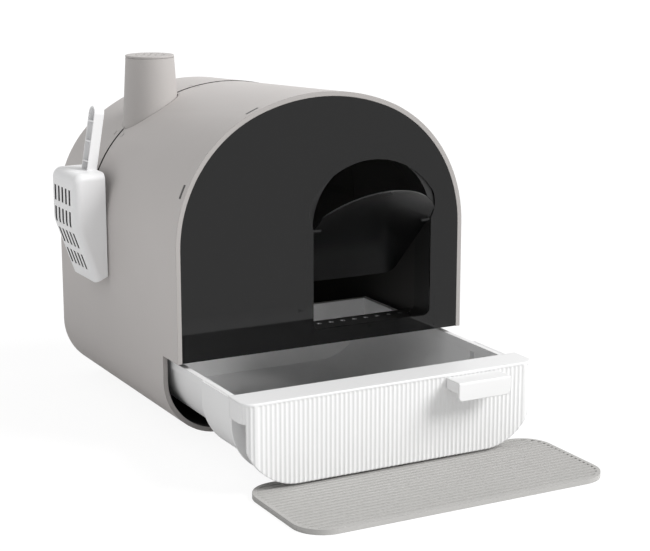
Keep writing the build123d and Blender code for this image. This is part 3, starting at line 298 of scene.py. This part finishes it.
def step_plastic(name):
    """The step's dark moulding, with painted light round each of its holes, standing in for the
    light that shows through them.
    """
    material = moulded(name, DARK, roughness=0.42)
    tree = material.node_tree
    spot = split(tree, object_place(tree))
    # how far the nearest hole's centre is, along the row and across it
    from_middle = math_node(tree, "SUBTRACT", spot["X"], HOLE_X)
    along = math_node(tree, "DIVIDE", from_middle, HOLE_PITCH)
    off = math_node(tree, "SUBTRACT", along, math_node(tree, "ROUND", along))
    off = math_node(tree, "MULTIPLY", off, HOLE_PITCH)
    back = math_node(tree, "SUBTRACT", spot["Y"], FRONT_Y + HOLE_DEPTH)
    squares = math_node(tree, "ADD", squared(tree, off), squared(tree, back))
    # painted light in a disc round each hole
    recolour(tree, HOLE_PAINTED_LIGHT, math_node(tree, "LESS_THAN", squares, HOLE_LIGHT_RADIUS**2))
    return material


def smoked(name, gloss_low=0.03, gloss_high=0.06):
    """Polished smoked plastic that lets a little light through."""
    material, tree, shader = node_material(name)
    cloud = add_noise(tree, 14.0, 2.0, object_place(tree))
    tree.links.new(add_range(tree, cloud, gloss_low, gloss_high), shader.inputs["Roughness"])
    shader.inputs["Base Color"].default_value = (*SMOKE, 1)
    shader.inputs["IOR"].default_value = SMOKE_IOR
    shader.inputs["Alpha"].default_value = SMOKE_ALPHA
    return material


def rubber(name, colour):
    """Rubber with a fine matt skin."""
    return moulded(name, colour, roughness=0.8, grain=900.0, edge=0.0012)


def brushed(name):
    """Plated screws and pins with fine turning marks."""
    material, tree, shader = node_material(name)
    rings = add_noise(tree, 2500.0, 1.0, object_place(tree))
    tree.links.new(add_range(tree, rings, 0.22, 0.4), shader.inputs["Roughness"])
    shader.inputs["Base Color"].default_value = (*STEEL, 1)
    shader.inputs["Metallic"].default_value = 1.0
    return material


def open_foam(name):
    """Charcoal filter foam with open cells."""
    material, tree, shader = node_material(name)
    cells = tree.nodes.new("ShaderNodeTexVoronoi")
    cells.inputs["Scale"].default_value = 450.0
    tree.links.new(object_place(tree), cells.inputs["Vector"])
    bump = add_bump(tree, cells.outputs["Distance"], 0.8)
    tree.links.new(bump.outputs["Normal"], shader.inputs["Normal"])
    shader.inputs["Base Color"].default_value = (*CHARCOAL, 1)
    shader.inputs["Roughness"].default_value = 0.95
    return material


FINISHES = {
    "taupe_plastic": shell_plastic("taupe_shell"),
    "smoked_plastic": smoked("smoked_sheet"),
    "dark_plastic": moulded("dark_moulding", DARK, roughness=0.42),
    "white_plastic": moulded("white_front", WHITE, roughness=0.42, edge=0.0022),
    "tub_plastic": moulded("white_tub", TUB_WHITE, roughness=0.45),
    "scoop_plastic": scoop_plastic("white_scoop"),
    "mat_rubber": rubber("grey_mat", MAT_GREY),
    "foot_rubber": rubber("black_feet", FOOT_BLACK),
    "steel": brushed("plated_steel"),
    "charcoal_foam": open_foam("filter_foam"),
}
# painted shade: the dark finish of the strips behind the seam
SEAM_SHADE_FINISH = moulded("painted_seam_shade", INNER_PAINTED_SHADE, roughness=0.6)


def dress(node, finish):
    """Gives a carried-over CAD node its finish."""
    materials = NODES[node].data.materials
    materials.clear()
    materials.append(finish)


for part in frame["record"]["subparts"]:
    dress(part["node"], FINISHES[part["material_slot"]])

# these two differ a little from the other pieces in their slots
dress("entry_step", step_plastic("step_moulding"))
dress("flap", smoked("smoked_flap", gloss_low=0.22, gloss_high=0.30))


# ------------------------------------------------------------------ dark strip behind the seam, as painted shade
def arch_points(share, inset):
    """Points along the three-centre arch at a share of the casing's depth, from right to left."""
    spring, shoulder, top = (a + (b - a) * share for a, b in zip(FRONT_ARCH, REAR_ARCH))
    rise = top - spring
    offset = HALF_WIDTH - shoulder
    crown = (offset**2 + rise**2 - shoulder**2) / (2 * (rise - shoulder))
    crown_z = top - crown
    turn = math.atan2(spring - crown_z, offset)
    points = []
    for index in range(STRIP_STEPS + 1):
        angle = math.pi * index / STRIP_STEPS
        if angle < turn:
            centre, radius = (offset, spring), shoulder
        elif angle > math.pi - turn:
            centre, radius = (-offset, spring), shoulder
        else:
            centre, radius = (0, crown_z), crown
        reach = radius - inset
        points.append((centre[0] + reach * math.cos(angle), centre[1] + reach * math.sin(angle)))
    return points


def band(name, lines):
    """A thin closed band through four equally long lines of points, one per long edge."""
    mesh = bpy.data.meshes.new(name)
    build = bmesh.new()
    rows = [[build.verts.new(point) for point in line] for line in lines]
    last = len(rows[0]) - 1
    for index in range(last):
        for a, b in zip(rows, rows[1:] + rows[:1]):
            build.faces.new((a[index], a[index + 1], b[index + 1], b[index]))
    build.faces.new([row[0] for row in rows])
    build.faces.new([row[last] for row in reversed(rows)])
    bmesh.ops.recalc_face_normals(build, faces=build.faces)
    build.to_mesh(mesh)
    build.free()
    piece = bpy.data.objects.new(name, mesh)
    bpy.context.scene.collection.objects.link(piece)
    mesh.materials.append(SEAM_SHADE_FINISH)
    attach(piece, "shell")


def strip_edges(middle):
    """The strip's four long edges: each one's place across the seam, and its inset."""
    inner = STRIP_INSET + STRIP_THICKNESS
    low, high = middle - STRIP_REACH, middle + STRIP_REACH
    return [(low, STRIP_INSET), (high, STRIP_INSET), (high, inner), (low, inner)]


def arch_strip():
    """A dark strip behind the arched seam, on both sides of the chimney's bore, that stands in for
    the shade in the gap.
    """
    depth = CASING_HIGH.y - CASING_LOW.y
    rows = []
    for y, inset in strip_edges(CHIMNEY_AXIS.y):
        share = (y - FRONT_Y) / depth
        rows.append([(x, y, z) for x, z in arch_points(share, inset)])
    kept = [i for i, point in enumerate(rows[0]) if abs(point[0] - CHIMNEY_AXIS.x) > CHIMNEY_BORE]
    split_at = next(i for i, (a, b) in enumerate(zip(kept, kept[1:])) if b != a + 1) + 1
    for name, run in (("seam_shade_sheet_right", kept[:split_at]), ("seam_shade_sheet_left", kept[split_at:])):
        band(name, [[row[i] for i in run] for row in rows])


def level_strip():
    """A dark strip behind the level seam along both sides and the back, under the rear hood, that
    stands in for the shade in the gap.
    """
    near = CHIMNEY_AXIS.y - STRIP_REACH
    rows = []
    for z, inset in strip_edges(REAR_ARCH[0]):
        half = HALF_WIDTH - inset
        back = CASING_HIGH.y - inset
        rows.append([(-half, near, z), (-half, back, z), (half, back, z), (half, near, z)])
    band("seam_shade_sheet_level", rows)


arch_strip()
level_strip()


# ------------------------------------------------------------------ floor, light and camera
def floor():
    """A pale floor that the camera sees as white, with the object's shadow kept faint."""
    mesh = bpy.data.meshes.new("studio_floor")
    plane = bmesh.new()
    bmesh.ops.create_grid(plane, x_segments=1, y_segments=1, size=FLOOR_HALF)
    plane.to_mesh(mesh)
    plane.free()
    ground = bpy.data.objects.new("studio_floor", mesh)
    bpy.context.scene.collection.objects.link(ground)
    material, tree, shader = node_material("studio_floor")
    shader.inputs["Base Color"].default_value = (FLOOR_GREY, FLOOR_GREY, FLOOR_GREY, 1)
    shader.inputs["Roughness"].default_value = FLOOR_ROUGHNESS
    shader.inputs["Specular IOR Level"].default_value = 0.0
    rays = tree.nodes.new("ShaderNodeLightPath")
    glow = tree.nodes.new("ShaderNodeEmission")
    glow.inputs["Strength"].default_value = FLOOR_GLOW
    seen = math_node(tree, "MULTIPLY", rays.outputs["Is Camera Ray"], FLOOR_GLOW_SHARE)
    blend = tree.nodes.new("ShaderNodeMixShader")
    tree.links.new(seen, blend.inputs["Fac"])
    tree.links.new(shader.outputs["BSDF"], blend.inputs[1])
    tree.links.new(glow.outputs["Emission"], blend.inputs[2])
    tree.links.new(blend.outputs["Shader"], tree.nodes["Material Output"].inputs["Surface"])
    mesh.materials.append(material)


def surroundings():
    """An even white room: plain light on the object, and white where it is seen or mirrored."""
    world = bpy.data.worlds.new("studio")
    bpy.context.scene.world = world
    world.use_nodes = True
    tree = world.node_tree
    room = tree.nodes["Background"]
    room.inputs["Strength"].default_value = WORLD_LEVEL
    room.inputs["Color"].default_value = (1, 1, 1, 1)
    white = tree.nodes.new("ShaderNodeBackground")
    white.inputs["Strength"].default_value = 1.0
    white.inputs["Color"].default_value = (1, 1, 1, 1)
    rays = tree.nodes.new("ShaderNodeLightPath").outputs
    shown = math_node(tree, "MAXIMUM", rays["Is Camera Ray"], rays["Is Glossy Ray"])
    shown = math_node(tree, "MAXIMUM", shown, rays["Is Transmission Ray"])
    blend = tree.nodes.new("ShaderNodeMixShader")
    tree.links.new(shown, blend.inputs["Fac"])
    tree.links.new(room.outputs["Background"], blend.inputs[1])
    tree.links.new(white.outputs["Background"], blend.inputs[2])
    tree.links.new(blend.outputs["Shader"], tree.nodes["World Output"].inputs["Surface"])


def key_light():
    """One broad soft light from the front right, above."""
    lamp = bpy.data.lights.new("key", "SUN")
    lamp.energy = KEY_LEVEL
    lamp.angle = math.radians(KEY_SOFTNESS)
    light = bpy.data.objects.new("key", lamp)
    bpy.context.scene.collection.objects.link(light)
    light.rotation_euler = Vector(KEY_FROM).to_track_quat("Z", "Y").to_euler()


def camera():
    lens = bpy.data.cameras.new("photo_view")
    lens.lens = CAMERA_LENS
    lens.sensor_width = SENSOR_WIDTH
    lens.clip_start = CAMERA_NEAR
    view = bpy.data.objects.new("photo_view", lens)
    bpy.context.scene.collection.objects.link(view)
    view.location = CAMERA_PLACE
    view.rotation_euler = (math.radians(90 - CAMERA_PITCH), 0, -math.radians(CAMERA_YAW))
    bpy.context.scene.camera = view


floor()
surroundings()
key_light()
camera()
bpy.context.scene.view_settings.view_transform = "Standard"
